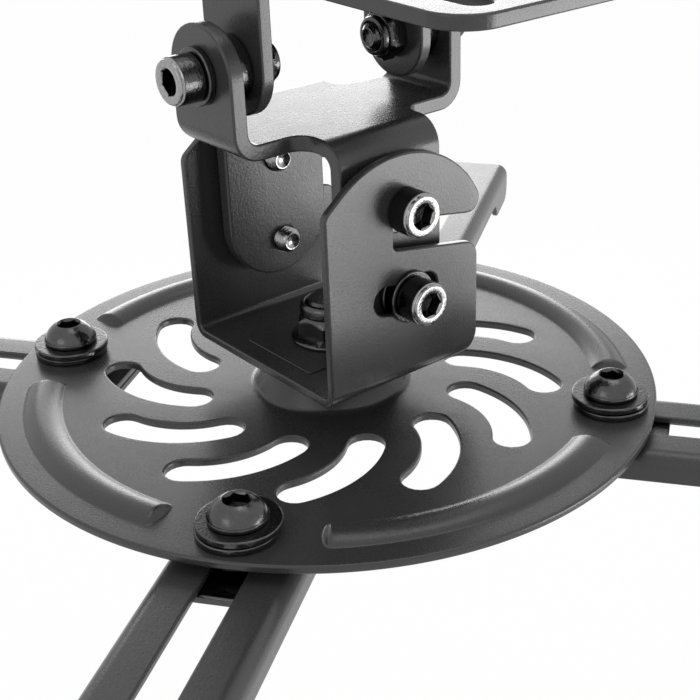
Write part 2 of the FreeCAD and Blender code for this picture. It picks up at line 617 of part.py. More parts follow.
# Tilt pivots and locks, from outside each cheek into the saddle's tongues.
ACROSS = Vector(0, 1, 0)
pivot_y, pivot_z = "pivot_back - swivel_back", "pivot_up - drop"
lock_y, lock_z = LOCK_Y + " - swivel_back", LOCK_Z + " - drop"
for label, out, turn in (("left", minus, 90.0), ("right", str, -90.0)):
    cheek, shim = "yoke_half + seat_gap", out("tongue_out + flat_thick")
    under_head = out(cheek + " + thin_thick")
    cap_screw("pivot_screw_" + label, "pivot_long", out(cheek), pivot_y, pivot_z, ACROSS, turn)
    washer("pivot_shim_" + label, "flat_rad", "flat_thick", shim, pivot_y, pivot_z, ACROSS, turn)
    cap_screw("lock_screw_" + label, "lock_long", under_head, lock_y, lock_z, ACROSS, turn)
    washer("lock_washer_" + label, "flat_rad", "thin_thick", under_head, lock_y, lock_z, ACROSS, turn)
    washer("lock_shim_" + label, "flat_rad", "flat_thick", shim, lock_y, lock_z, ACROSS, turn)


# Arms: folded channels, open side down, that slide and swing on their screws.
def arm(label, turn):
    body = new_body(label)
    near, far = "0 - arm_half", "arm_half"
    top = "0 - arm_top"
    sk = new_sketch(body, label + "_section", "YZ_Plane")
    outline(sk, [(near, top, "arm_bend + arm_thick"), (far, top, "arm_bend + arm_thick"),
                 (far, "0 - ear_deep", None), (far + " - arm_thick", "0 - ear_deep", None),
                 (far + " - arm_thick", top + " - arm_thick", "arm_bend"),
                 (near + " + arm_thick", top + " - arm_thick", "arm_bend"),
                 (near + " + arm_thick", "0 - ear_deep", None), (near, "0 - ear_deep", None)])
    pad(body, sk, "arm_outer")
    sk = new_sketch(body, label + "_side", "XZ_Plane")
    frame(sk, "0 - ear_deep", "0 - 2 * ear_deep", "arm_outer + ear_deep", "ear_deep")
    outline(sk,
            [("arm_inner", "0", None), ("arm_outer", "0", None),
             ("arm_outer", "0 - ear_deep", "0.3 * ear_deep"),
                 ("arm_outer - ear_long + 0.6 * ear_deep - 0.6 * arm_deep", "0 - ear_deep",
                  "0.18 * ear_deep"),
                 ("arm_outer - ear_long", "0 - arm_deep", "0.15 * ear_deep"),
                 ("arm_inner", "0 - arm_deep", "0.125 * arm_deep")])
    pocket(body, sk)
    sk = new_sketch(body, label + "_plan", "XY_Plane")
    frame(sk, "arm_inner - arm_half", "0 - 2 * arm_half", "arm_outer + arm_half", "2 * arm_half")
    outline(sk, [("arm_inner", near, "0.12 * arm_half"), ("arm_outer", near, "0.12 * arm_half"),
                 ("arm_outer", far, "0.12 * arm_half"), ("arm_inner", far, "0.12 * arm_half")])
    pocket(body, sk)
    sk = new_sketch(body, label + "_slot", "XY_Plane")
    oblong(sk, "arm_inner + arm_slot_in", "0", "arm_outer - arm_slot_end", "0", "arm_slot_half")
    ring(sk, "arm_outer - arm_eye_end", "0", "arm_eye_rad")
    pocket(body, sk)
    place(body, y="0 - swivel_back", z="0 - drop", turn=turn)


def at_screw(body, turn, z, upside=0.0):
    """Puts a fastener on the screw circle, turned with its arm."""
    angle = math.radians(turn)
    body.Placement = Placement(Vector(value("screw_out") * math.cos(angle),
                                      value("screw_out") * math.sin(angle) - value("swivel_back"),
                                      value(z) - value("drop")),
                               Rotation(Vector(0, 0, 1),
                                        turn).multiply(Rotation(Vector(1, 0, 0), upside)))
    body.setExpression("Placement.Base.x", "sizes.screw_out * %.9f" % math.cos(angle))
    body.setExpression("Placement.Base.y", "sizes.screw_out * %.9f - sizes.swivel_back" % math.sin(angle))
    body.setExpression("Placement.Base.z", cells(z + " - drop"))


grip_top = "0 - arm_top - arm_thick - seat_gap"
tip = grip_top + " - grip_thick - nut_thick - 1"
pan_low, pan_top = "2 * big_thick + 2 * seat_gap", "2 * big_thick + pan_high"
for number in range(4):
    turn = value("plate_turn") + 90.0 * number
    name = ("right", "back", "left", "front")[number]
    arm("arm_" + name, turn)
    body = new_body("arm_screw_" + name)
    sk = new_sketch(body, "pan_profile_" + name, "XZ_Plane")
    outline(sk,
            [("0", tip, None), ("bolt_rad", tip, "0.5"), ("bolt_rad", pan_low, None),
             ("pan_rad", pan_low, None),
                 ("pan_rad", pan_low + " + 0.8", "0.3"), ("pan_rad - 2.6", pan_top, "2.2"),
                 ("0", pan_top, None)])
    revolve(body, sk)
    sk = new_sketch(body, "pan_socket_" + name, "XY_Plane", offset=pan_top)
    hexagon(sk, "0", "0", "pan_key")
    pocket(body, sk, length="pan_deep", both=False)
    at_screw(body, turn, "0")
    body = new_body("arm_washers_" + name)
    body.AllowCompound = True
    for layer, level in (("a", "seat_gap"), ("b", "seat_gap + big_thick + 0.02")):
        sk = new_sketch(body, "big_%s_%s" % (layer, name), "XY_Plane", offset=level)
        ring(sk, "0", "0", "big_rad")
        ring(sk, "0", "0", "bolt_hole")
        pad(body, sk, "big_thick")
    at_screw(body, turn, "0")
    body = new_body("arm_spacer_" + name)
    sk = new_sketch(body, "post_face_" + name, "XY_Plane", offset="0 - plate_thick - seat_gap")
    ring(sk, "0", "0", "post_rad")
    ring(sk, "0", "0", "bolt_hole")
    pad(body, sk, "arm_top - plate_thick - 2 * seat_gap", back=True)
    at_screw(body, turn, "0")
    body = new_body("arm_grip_" + name)
    sk = new_sketch(body, "grip_face_" + name, "XY_Plane", offset=grip_top)
    outline(sk, [("0 - grip_long", "0 - grip_half", "1.0"), ("grip_long", "0 - grip_half", "1.0"),
                 ("grip_long", "grip_half", "1.0"), ("0 - grip_long", "grip_half", "1.0")])
    ring(sk, "0", "0", "bolt_hole")
    pad(body, sk, "grip_thick", back=True)
    at_screw(body, turn, "0")
    body = hex_nut("arm_nut_" + name, "0", "0", "0")
    at_screw(body, turn, grip_top + " - grip_thick", 180.0)

doc.recompute()
bad = [o.Name for o in doc.Objects if "Invalid" in o.State or "Error" in o.State]
if bad:
    raise RuntimeError("failed objects: " + ", ".join(bad))
nodes = [o for o in doc.Objects if o.TypeId == "PartDesign::Body"]
for node in nodes:
    if node.Shape.isNull() or not node.Shape.isValid():
        raise RuntimeError("bad shape: " + node.Label)
for node in nodes:
    node.Shape.exportStep("parts/%s.step" % node.Label)
    print(node.Label, round(node.Shape.Volume, 1), len(node.Shape.Solids))
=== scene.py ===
"""Looks of a hung projector mount: folded coated sheets, a round spider plate and its fasteners.

Lengths are in millimetres until a piece is placed. Heights are counted up from
the top of the round plate and depths from the swivel axis, as in the part's
source, and `hang` moves both into the frame's own axes in metres.
"""
import json
import math

import bmesh
import bpy
import numpy as np
from mathutils import Matrix, Vector
from mathutils.geometry import tessellate_polygon


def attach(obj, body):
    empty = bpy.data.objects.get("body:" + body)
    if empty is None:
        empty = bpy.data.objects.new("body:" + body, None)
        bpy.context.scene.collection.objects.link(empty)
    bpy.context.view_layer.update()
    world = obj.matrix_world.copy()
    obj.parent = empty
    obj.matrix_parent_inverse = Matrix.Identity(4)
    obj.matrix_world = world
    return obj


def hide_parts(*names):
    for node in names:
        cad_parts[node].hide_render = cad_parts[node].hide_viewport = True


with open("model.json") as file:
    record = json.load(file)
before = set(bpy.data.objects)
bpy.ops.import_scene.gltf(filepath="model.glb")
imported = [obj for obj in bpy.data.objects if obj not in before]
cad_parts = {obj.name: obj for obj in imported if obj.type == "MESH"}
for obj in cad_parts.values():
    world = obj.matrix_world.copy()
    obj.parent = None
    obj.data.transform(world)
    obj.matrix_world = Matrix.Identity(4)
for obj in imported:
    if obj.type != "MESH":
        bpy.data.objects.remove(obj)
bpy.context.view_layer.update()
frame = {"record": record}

# Height of the ceiling plate's top above the round plate's
DROP = 102.0
# Depth of the tilt pivots behind the swivel, and of the middle between the roll screws
AXIS_BACK = 1.6
# Heights of the tilt pivots and the roll axis, depth and height of the tilt locks
PIVOT_UP, ROLL_UP = 50.1, 79.5
LOCK_BACK, LOCK_UP = 2.70, 29.50
# How far the round plate and the first arm are turned, and how far from the swivel the arm screws stand
PLATE_TURN = 35.5
PIN_OUT = 67.3
ARM_NAMES = ("right", "back", "left", "front")
# Radius of the screws and their threads' depth, of the holes that they pass through, of the stud's hole
SCREW, THREAD_DEEP = 3.0, 0.55
BORE = 3.06
STUD_BORE = 5.07
# The lock nuts: half their width across the flats, height, collar radius
NUT_HALF, NUT_HIGH, NUT_COLLAR = 5.0, 6.0, 4.4
HEX_TURN = math.pi / 3
# Long arcs of an outline are split into pieces of about this length
ARC_PIECE = 1.2
# Points closer than WELD are merged and edges shorter than SLIVER dissolved, in metres
WELD, SLIVER = 2e-6, 1e-7
# Edges sharper than this many degrees stay sharp
SHARP = 38.0
MM = 0.001
# Numbers of sockets: a colour mix's share, two colours and result, and object coordinates
MIX_SHARE, MIX_FIRST, MIX_SECOND, MIX_RESULT = 0, 6, 7, 2
OBJECT_COORDINATES = 3
# Scale of the slow noise in every finish, and its share where both noises are mixed
DRIFT_SCALE = 90.0
DRIFT_SHARE = 0.3
HOME = {node: body for body, nodes in frame["record"]["behaviour"]["bodies"].items() for node in nodes}


# Node materials
class Signal:
    """One output in a node tree. Arithmetic on it adds Math nodes."""

    def __init__(self, tree, socket):
        self.tree, self.socket = tree, socket

    def sum_of(self, operation, other):
        node = self.tree.nodes.new("ShaderNodeMath")
        node.operation = operation
        for slot, item in zip(node.inputs, (self, other)):
            if isinstance(item, Signal):
                self.tree.links.new(item.socket, slot)
            else:
                slot.default_value = item
        return Signal(self.tree, node.outputs[0])

    def __add__(self, other):
        return self.sum_of("ADD", other)

    def __sub__(self, other):
        return self.sum_of("SUBTRACT", other)

    def __mul__(self, other):
        return self.sum_of("MULTIPLY", other)


class Recipe:
    """The node tree of one finish, or of the world."""

    def __init__(self, owner):
        owner.use_nodes = True
        self.tree = owner.node_tree
        self.tree.nodes.clear()

    def node(self, kind, settings=None, inputs=None, output=0):
        """Adds one node: its settings first, then the value or link of each named socket."""
        node = self.tree.nodes.new("ShaderNode" + kind)
        for key, item in (settings or {}).items():
            setattr(node, key, item)
        for key, item in (inputs or {}).items():
            if isinstance(item, Signal):
                self.tree.links.new(item.socket, node.inputs[key])
            else:
                node.inputs[key].default_value = item
        return Signal(self.tree, node.outputs[output]) if node.outputs else None


def grey(level):
    return (level, level, level, 1.0)


def make_finish(name, base, metallic, roughness, rough_swing, tone_swing, grain, grain_depth):
    """A finish whose colour and gloss drift slightly and whose surface has a fine grain.

    Roughness is its mean plus a slow and a fine noise; the grain is the fine noise,
    sent to a Bump node; the base colour is mixed between two near greys by both.
    """
    material = bpy.data.materials.new(name)
    recipe = Recipe(material)
    place = recipe.node("TexCoord", output=OBJECT_COORDINATES)
    drift = recipe.node("TexNoise", inputs={"Vector": place, "Scale": DRIFT_SCALE, "Detail": 3.0})
    fine = recipe.node("TexNoise", inputs={"Vector": place, "Scale": grain, "Detail": 2.0})
    darker, lighter = grey(base * (1.0 - tone_swing)), grey(base * (1.0 + tone_swing))
    share = drift * DRIFT_SHARE + fine * (1.0 - DRIFT_SHARE)
    tone = recipe.node("Mix", {"data_type": "RGBA"}, {
        MIX_SHARE: share, MIX_FIRST: darker, MIX_SECOND: lighter}, output=MIX_RESULT)
    relief = recipe.node("Bump", inputs={"Height": fine, "Strength": 1.0, "Distance": grain_depth})
    gloss = (drift - 0.5) * rough_swing + (fine - 0.5) * rough_swing + roughness
    shader = recipe.node("BsdfPrincipled", inputs={
        "Base Color": tone, "Metallic": metallic, "Normal": relief, "Roughness": gloss})
    recipe.node("OutputMaterial", inputs={"Surface": shader})
    return material


COATED = make_finish("satin_powder_coat", base=0.05, metallic=0.0, roughness=0.28, rough_swing=0.08,
                     tone_swing=0.18, grain=2000.0, grain_depth=0.00004)
OXIDE = make_finish("black_oxide", base=0.08, metallic=1.0, roughness=0.2, rough_swing=0.14,
                    tone_swing=0.35, grain=1500.0, grain_depth=0.00006)
# Brighter steel: on each cap head's face ring it is a painted highlight; it also covers the ends of the bare
# screws' threads
STEEL = make_finish("steel_highlight_and_tip", base=0.3, metallic=1.0, roughness=0.2, rough_swing=0.1,
                    tone_swing=0.6, grain=1800.0, grain_depth=0.00004)
NYLON = make_finish("slip_nylon", base=0.03, metallic=0.0, roughness=0.4, rough_swing=0.1,
                    tone_swing=0.1, grain=900.0, grain_depth=0.00003)


# Shapes as arrays
def rounded(corners, closed=True, steps=6):
    """Points of an outline whose corner (x, y, radius) is swapped for a tangent arc.

    The arc starts at radius / tan(half angle) before the corner and is swept in
    equal steps about the point on the bisector at radius / sin(half angle).
    """
    points = []
    count = len(corners)
    for i, (x, y, radius) in enumerate(corners):
        here = np.array([x, y], float)
        if radius <= 0 or (not closed and i in (0, count - 1)):
            points.append(here)
            continue
        before = np.array(corners[i - 1][:2], float) - here
        after = np.array(corners[(i + 1) % count][:2], float) - here
        before, after = before / np.linalg.norm(before), after / np.linalg.norm(after)
        half = math.acos(np.clip(before @ after, -1, 1)) / 2
        inward = (before + after) / np.linalg.norm(before + after)
        centre = here + inward * radius / math.sin(half)
        first = here + before * radius / math.tan(half) - centre
        last = here + after * radius / math.tan(half) - centre
        sweep = math.atan2(first[0] * last[1] - first[1] * last[0], first @ last)
        turns = np.linspace(0, sweep, max(steps, int(abs(sweep) * radius / ARC_PIECE)) + 1)
        points.extend(centre + np.column_stack([
            np.cos(turns) * first[0] - np.sin(turns) * first[1],
            np.sin(turns) * first[0] + np.cos(turns) * first[1]]))
    return np.array(points)


def circle(x, y, radius, count=48):
    turns = np.arange(count) * 2 * math.pi / count
    return np.column_stack([x + radius * np.cos(turns), y + radius * np.sin(turns)])


def curved_slot(x, y, mean, half, low, high, ends=9, along=28):
    """Outline of a slot that follows an arc of radius mean about (x, y), with round ends."""
    low, high = math.radians(low), math.radians(high)
    run = np.linspace(low, high, along)
    points = [np.column_stack([np.cos(run), np.sin(run)]) * (mean + half)]
    for angle, side in ((high, 1), (low, -1)):
        tip = mean * np.array([math.cos(angle), math.sin(angle)])
        sweep = np.linspace(0, math.pi, ends + 2)[1:-1] + angle + (0 if side > 0 else math.pi)
        points.append(tip + half * np.column_stack([np.cos(sweep), np.sin(sweep)]))
        if side > 0:
            points.append(np.column_stack([np.cos(run[::-1]), np.sin(run[::-1])]) * (mean - half))
    return np.concatenate(points) + [x, y]


def block(half_x, half_y, corner=1.0):
    """Outline of a rectangle about the middle, with rounded corners."""
    return rounded([(x, y, corner) for x, y in
                    ((-half_x, -half_y), (half_x, -half_y), (half_x, half_y), (-half_x, half_y))])


def straight_slot(x0, x1, y, radius, ends=16):
    """Outline of a slot along x between two centres."""
    sweep = np.linspace(-math.pi / 2, math.pi / 2, ends)
    cap = radius * np.column_stack([np.cos(sweep), np.sin(sweep)])
    return np.concatenate([cap + [x1, y], -cap + [x0, y]])


def wound(loop, left=True):
    """The loop with its points in the anticlockwise order, or the other way round for a hole."""
    x, y = loop.T
    area = np.sum(x * np.roll(y, -1) - y * np.roll(x, -1))
    return loop if (area > 0) == left else loop[::-1]


def inset(loop, distance):
    """Moves each point into the material, along the mitre of its two sides."""
    along = np.roll(loop, -1, axis=0) - loop
    along /= np.linalg.norm(along, axis=1)[:, None]
    normal = np.column_stack([-along[:, 1], along[:, 0]])
    before = np.roll(normal, 1, axis=0)
    mitre = (normal + before) / (1 + np.sum(normal * before, axis=1))[:, None]
    return loop + mitre * distance


def rings_to_faces(rows, columns, start=0, wrap_rows=False):
    """Quads between neighbouring rows of a grid whose columns close on themselves."""
    last = rows if wrap_rows else rows - 1
    i, j = np.meshgrid(np.arange(last), np.arange(columns), indexing="ij")
    up, on = (i + 1) % rows, (j + 1) % columns
    quads = np.stack([i * columns + j, i * columns + on, up * columns + on, up * columns + j], axis=-1)
    return (quads.reshape(-1, 4) + start).tolist()


def flat_sheet(outer, holes, thick, edge=0.5, steps=4, walls=None):
    """A flat plate with softened edges, as points and faces about its middle plane.

    Each loop carries a wall profile: a quarter arc of radius edge from the upper
    face, a straight drop, and a quarter arc to the lower face. The two faces are
    the inset loops, filled. Loops listed in walls get no wall.
    """
    loops = [wound(outer)] + [wound(hole, False) for hole in holes]
    turns = np.linspace(0, math.pi / 2, steps + 1)
    into = np.concatenate([edge * (1 - np.sin(turns)), edge * (1 - np.cos(turns))])
    level = thick / 2 - edge + edge * np.cos(turns)
    level = np.concatenate([level, -level[::-1]])
    points, faces, tops, bottoms, spots = [], [], [], [], []
    start = 0
    for number, loop in enumerate(loops):
        open_loop = walls is not None and number not in walls
        depths, levels = ((0.0, 0.0), (thick / 2, -thick / 2)) if open_loop else (into, level)
        rows = [np.column_stack([inset(loop, d), np.full(len(loop), z)]) for d, z in zip(depths, levels)]
        points += rows
        if not open_loop:
            faces += [quad[::-1] for quad in rings_to_faces(len(rows), len(loop), start)]
        tops += list(range(start, start + len(loop)))
        bottoms += list(range(start + (len(rows) - 1) * len(loop), start + len(rows) * len(loop)))
        spots.append([Vector((p[0], p[1], 0.0)) for p in rows[0]])
        start += len(rows) * len(loop)
    for triangle in tessellate_polygon(spots):
        corners = np.array([spot for ring in spots for spot in ring])[list(triangle)]
        (ax, ay, _), (bx, by, _), (cx, cy, _) = corners
        a, b, c = triangle if (bx - ax) * (cy - ay) > (by - ay) * (cx - ax) else triangle[::-1]
        faces.append([tops[a], tops[b], tops[c]])
        faces.append([bottoms[c], bottoms[b], bottoms[a]])
    return np.concatenate(points), faces


def creased(points, faces, cuts):
    """Splits a flat mesh along planes, so that it can bend there. cuts holds (axis, place) pairs."""
    mesh = bmesh.new()
    corners = [mesh.verts.new(p) for p in points]
    for face in faces:
        mesh.faces.new([corners[k] for k in face])
    for axis, place in cuts:
        centre, normal = [0.0, 0.0, 0.0], [0.0, 0.0, 0.0]
        centre[axis], normal[axis] = place, 1.0
        bmesh.ops.bisect_plane(mesh, geom=mesh.verts[:] + mesh.edges[:] + mesh.faces[:], dist=1e-5,
                               plane_co=centre, plane_no=normal)
    mesh.verts.index_update()
    result = np.array([v.co[:] for v in mesh.verts]), [[v.index for v in f.verts] for f in mesh.faces]
    mesh.free()
    return result


def bend_cuts(axis, start, radius, steps=8):
    """Planes across the two bends that begin at plus and minus start."""
    arc = radius * math.pi / 2
    return [(axis, sign * (start + arc * k / steps)) for sign in (1, -1) for k in range(steps + 1)]


def bend(points, axis, start, radius, upward, toward=0):
    """Folds what lies beyond start through a right angle.

    In the bend a point at arc length s past start turns to angle s / radius about
    an axis that stands radius above the middle plane (below it for a downward
    fold); past the bend it runs on straight. toward limits it to one side.
    """
    points = points.copy()
    flip = 1.0 if upward else -1.0
    place = points[:, axis]
    side = np.sign(place)
    past = np.abs(place) - start
    moved = (past > 0) & ((toward == 0) | (side == toward))
    off = flip * points[:, 2]
    angle = np.clip(past / radius, 0, math.pi / 2)
    run = np.clip(past - radius * math.pi / 2, 0, None)
    out = start + (radius - off) * np.sin(angle)
    up = radius - (radius - off) * np.cos(angle) + run
    points[moved, axis] = (side * out)[moved]
    points[moved, 2] = (flip * up)[moved]
    return points


def lathe(rows, columns=72, closed=False):
    """Turns a profile about z. Each row is (radius, height, sixness, limit).

    The radius at angle a is radius * (1 + sixness * (1 / cos(b) - 1)), where b is
    the angle from the middle of the nearest flat, and never more than limit, so
    that sixness 1 gives a hexagon whose corners a cone cuts off.
    """
    table = np.array([tuple(row) + (0.0, 1e3)[len(row) - 2:] for row in rows])
    radius, height, sixness, limit = [table[:, k][:, None] for k in range(4)]
    angle = np.arange(columns)[None, :] * 2 * math.pi / columns
    offset = (angle + HEX_TURN / 2) % HEX_TURN - HEX_TURN / 2
    reach = np.minimum(radius * (1 + sixness * (1 / np.cos(offset) - 1)), limit)
    level = np.broadcast_to(height, reach.shape)
    points = np.stack([reach * np.cos(angle), reach * np.sin(angle), level], axis=-1)
    return points.reshape(-1, 3), rings_to_faces(len(rows), columns, wrap_rows=closed)


def threaded(length, radius=SCREW, pitch=1.0, columns=48, per_turn=8):
    """A screw's thread with its blunt, dished tip.

    The radius falls by THREAD_DEEP times a wave of height / pitch minus the share
    of a turn. The wave is a triangle with its roots and crests cut flat. Over the
    last part of the length a cone cuts the thread off.
    """
    steep, flat = 1.3, 0.1
    tip, taper = 0.9, 1.1
    height = np.linspace(0.0, length, int(length / pitch * per_turn) + 1)[:, None]
    angle = np.arange(columns)[None, :] * 2 * math.pi / columns
    phase = (height / pitch - angle / (2 * math.pi)) % 1.0
    wave = np.clip(np.abs(2 * phase - 1) * steep - flat, 0, 1)
    reach = np.minimum(radius - THREAD_DEEP * (1 - wave), radius - tip + (length - height) * taper)
    level = np.broadcast_to(height, reach.shape)
    points = np.stack([reach * np.cos(angle), reach * np.sin(angle), level], axis=-1)
    dish = [np.column_stack([r * np.cos(angle[0]), r * np.sin(angle[0]), np.full(columns, length - fall)])
            for r, fall in ((1.85, 0.0), (1.65, 0.12), (1.1, 0.42), (0.5, 0.56), (0.0, 0.6))]
    return np.concatenate([points.reshape(-1, 3)] + dish), rings_to_faces(len(height) + len(dish), columns)


def thread_seat(height):
    """The flat ring under a screw's head, from the shank's edge in to the thread's root."""
    return lathe([(SCREW, height), (SCREW - THREAD_DEEP, height)], columns=48)


def joined(*shapes):
    """Several point-and-face shapes as one."""
    points, faces, start = [], [], 0
    for some_points, some_faces in shapes:
        points.append(some_points)
        faces += [[k + start for k in face] for face in some_faces]
        start += len(some_points)
    return np.concatenate(points), faces


def soft_washer(outer, inner, low, high, edge=0.35):
    """Closed profile of a washer, with rounded rims, from its bore out and back."""
    loop = rounded([(inner, low, 0.2), (outer, low, edge), (outer, high, edge), (inner, high, 0.2)], steps=4)
    return lathe([tuple(p) for p in loop], closed=True)


# Placing
def hang(points, turn=0.0, out=0.0):
    """Moves points to the frame's axes: pushed out along x, turned about the swivel, then hung."""
    points = np.asarray(points, float) + [out, 0.0, 0.0]
    c, s = math.cos(math.radians(turn)), math.sin(math.radians(turn))
    x, y, z = points.T
    return np.column_stack([c * x - s * y, s * x + c * y - AXIS_BACK, z - DROP]) * MM


def hung(shape, turn=0.0, out=0.0):
    points, faces = shape
    return hang(points, turn, out), faces


def shifted(shape, x=0.0, y=0.0, z=0.0, upright=True):
    """The shape moved, and mirrored top to bottom first where it isn't to stand upright."""
    points, faces = shape
    return points * [1, 1, 1 if upright else -1] + [x, y, z], faces


def aimed(shape, origin, aim, spin=0.0):
    """The shape with its own z along aim, moved to origin, in the part's axes."""
    points, faces = shape
    turn = Vector(aim).to_track_quat("Z", "Y").to_matrix() @ Matrix.Rotation(math.radians(spin), 3, "Z")
    return np.asarray(points) @ np.array(turn).T + np.asarray(origin, float), faces


def add_piece(name, shape, finish, node, second=None, second_faces=None):
    """Makes one object of the mount, welds it, sets its edges, hangs it on its body and hides the CAD part
    that it stands for.
    """
    points, faces = shape
    mesh = bpy.data.meshes.new(name)
    mesh.from_pydata(np.asarray(points).tolist(), [], faces)
    shell = bmesh.new()
    shell.from_mesh(mesh)
    bmesh.ops.remove_doubles(shell, verts=shell.verts, dist=WELD)
    bmesh.ops.dissolve_degenerate(shell, dist=SLIVER, edges=shell.edges)
    bmesh.ops.recalc_face_normals(shell, faces=shell.faces)
    shell.to_mesh(mesh)
    shell.free()
    mesh.materials.append(finish)
    mesh.polygons.foreach_set("use_smooth", [True] * len(mesh.polygons))
    mesh.set_sharp_from_angle(angle=math.radians(SHARP))
    obj = bpy.data.objects.new(name, mesh)
    bpy.context.scene.collection.objects.link(obj)
    if second is not None:
        mesh.materials.append(second)
        middles = np.empty(len(mesh.polygons) * 3)
        mesh.polygons.foreach_get("center", middles)
        mesh.polygons.foreach_set("material_index", second_faces(middles.reshape(-1, 3)).astype(np.int32))
    weights = obj.modifiers.new("flat_faces_first", "WEIGHTED_NORMAL")
    weights.keep_sharp = True
    weights.weight = 80
    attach(obj, HOME[node])
    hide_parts(node)


# Ceiling plate: a flat plate with two tabs folded down inside the saddle's walls
def ceiling_plate():
    thick, start, radius = 3.0, 17.9, 3.5
    wide, deep, corner = 70, 25, 9
    tab_half, tab_round, tab_low = 10, 9.9, 32.5
    notch, notch_in, notch_round = 11, 17.0, 0.45
    hole_out, hole_rad = 30, 8
    slot_x, slot_y, slot_run, slot_rad = 56, 14, 6, 3.25
    middle = thick / 2
    past = start + radius * math.pi / 2
    tip = past + (tab_low - middle - radius)
    bolt = past + (DROP - ROLL_UP - middle - radius)
    side = [(-wide, deep, corner), (-notch, deep, 0.6), (-notch, notch_in, notch_round),
            (-tab_half, notch_in, notch_round), (-tab_half, tip, tab_round), (tab_half, tip, tab_round),
            (tab_half, notch_in, notch_round), (notch, notch_in, notch_round), (notch, deep, 0.6),
            (wide, deep, corner)]
    corners = side + [(x, -y, r) for x, y, r in reversed(side)]
    holes = [circle(0, y, BORE) for y in (bolt, -bolt)]
    holes += [circle(x, 0, hole_rad) for x in (hole_out, -hole_out)]
    holes += [straight_slot(x - slot_run, x + slot_run, y, slot_rad)
              for x in (slot_x, -slot_x) for y in (slot_y, -slot_y)]
    points, faces = creased(*flat_sheet(rounded(corners), holes, thick), bend_cuts(1, start, radius))
    tab = np.abs(points[:, 0]) < (tab_half + notch) / 2
    points[tab] = bend(points[tab], 1, start, radius, False)
    points[:, 2] += DROP - middle
    points[:, 1] += AXIS_BACK
    add_piece("ceiling_plate_folded", hung((points, faces)), COATED, "ceiling_plate")


# Saddle: a cross of sheet, with tongues folded down and walls folded up
def saddle():
    thick, radius, top = 3.5, 4.35, 66.2
    web = top - thick / 2
    reach = radius * math.pi / 2
    out, fore, aft = 16.6, 23.5, 26.7
    wall_half, wall_round = 10.7, 10.4
    tongue_front, tongue_rear, tongue_low, tongue_round = -12.6, 15.2, 21.3, 13.8
    inner_round = 4
    tongue = out + reach + (web - radius - tongue_low)
    wall = reach + (ROLL_UP + wall_round - web - radius)
    front, rear = -(fore + wall), aft + wall
    half = [(wall_half, front, wall_round), (wall_half, tongue_front, inner_round),
            (tongue, tongue_front, tongue_round), (tongue, tongue_rear, tongue_round),
            (wall_half, tongue_rear, inner_round), (wall_half, rear, wall_round)]
    corners = half + [(-x, y, r) for x, y, r in reversed(half)]
    pivot = out + reach + (web - radius - PIVOT_UP)
    lock = pivot + PIVOT_UP - LOCK_UP
    roll = reach + (ROLL_UP - web - radius)
    threads = ((pivot, AXIS_BACK), (lock, LOCK_BACK))
    holes = [circle(sign * x, y, SCREW) for sign in (1, -1) for x, y in threads]
    holes += [circle(0, -(fore + roll), BORE), circle(0, aft + roll, BORE)]
    cuts = bend_cuts(0, out, radius)
    cuts += [cut for cut in bend_cuts(1, fore, radius) if cut[1] < 0]
    cuts += [cut for cut in bend_cuts(1, aft, radius) if cut[1] > 0]
    points, faces = creased(*flat_sheet(rounded(corners), holes, thick), cuts)
    points = bend(points, 0, out, radius, False)
    points = bend(points, 1, fore, radius, True, toward=-1)
    points = bend(points, 1, aft, radius, True, toward=1)
    points[:, 2] += web
    add_piece("saddle_folded", hung((points, faces)), COATED, "tilt_saddle")


# Yoke: a folded U with a hooked notch and a curved slot in each cheek
def yoke():
    thick, radius, start, floor = 2.0, 2.6, 22.9, 9.7
    past = start + radius * math.pi / 2 - (floor + radius)
    # Depth, height and rounding of each corner, from the front edge over the top and in around the notch
    cheek = [(-20.1, 53.5, 3.0), (-8.55, 62.5, 25), (9.35, 62.5, 25), (20.76, 53.58, 25), (26.3, 43.2, 3.1),
             (4.95, 46.98, 1.0), (4.95, 53.45, 3.33), (-1.75, 53.45, 3.33), (-1.75, 41.35, 1.2),
             (23.1, 36.9, 4.0), (23.1, 13.6, 4.5)]
    right = [(past + z, y, r) for y, z, r in cheek] + [(start - 1.0, 19.6, 4.0)]
    corners = right + [(-x, y, r) for x, y, r in reversed(right)]
    arc, slot_half, swing = 20.63, 3.35, 16.3
    slot = curved_slot(past + PIVOT_UP, AXIS_BACK, arc, slot_half, 180 - swing, 180 + swing)
    holes = [slot, slot * [-1, 1], circle(0, 0, STUD_BORE)]
    points, faces = creased(*flat_sheet(rounded(corners), holes, thick), bend_cuts(0, start, radius))
    points = bend(points, 0, start, radius, True)
    points[:, 2] += floor
    add_piece("yoke_folded", hung((points, faces)), COATED, "tilt_yoke")


# Round plate: hub, slotted web and beaded rim share their rings of points
def bead_height(x, y):
    """Height of the four pressed beads at (x, y).

    Across, a bead is the cap of a circle as wide as its foot: its height at a
    distance d from the middle arc is sqrt(R^2 - d^2) less R - high. At its ends a
    plane slopes down. The lower of the two, rounded where they meet, is kept
    where it stands above the sheet.
    """
    high, wide, middle, span, slope, soft = 1.9, 4.35, 67.7, 30.6, 1.25, 0.22
    cap = (wide ** 2 + high ** 2) / (2 * high)
    radius = np.hypot(x, y)
    across = np.clip(radius - middle, -5.9, 5.9)
    along = np.abs(np.degrees(np.arctan2(y, x)) % 90.0 - 45.0)
    past = np.radians(span - along) * middle - 0.055 * across ** 2
    ridge = np.sqrt(np.maximum(cap ** 2 - across ** 2, 0.0)) - (cap - high)
    ramp = np.clip(past * slope, -4.0, 4.0)
    low = -soft * np.log(np.exp(-ridge / soft) + np.exp(-ramp / soft))
    return 0.06 * np.log1p(np.exp(np.clip(low / 0.06, -50, 50)))


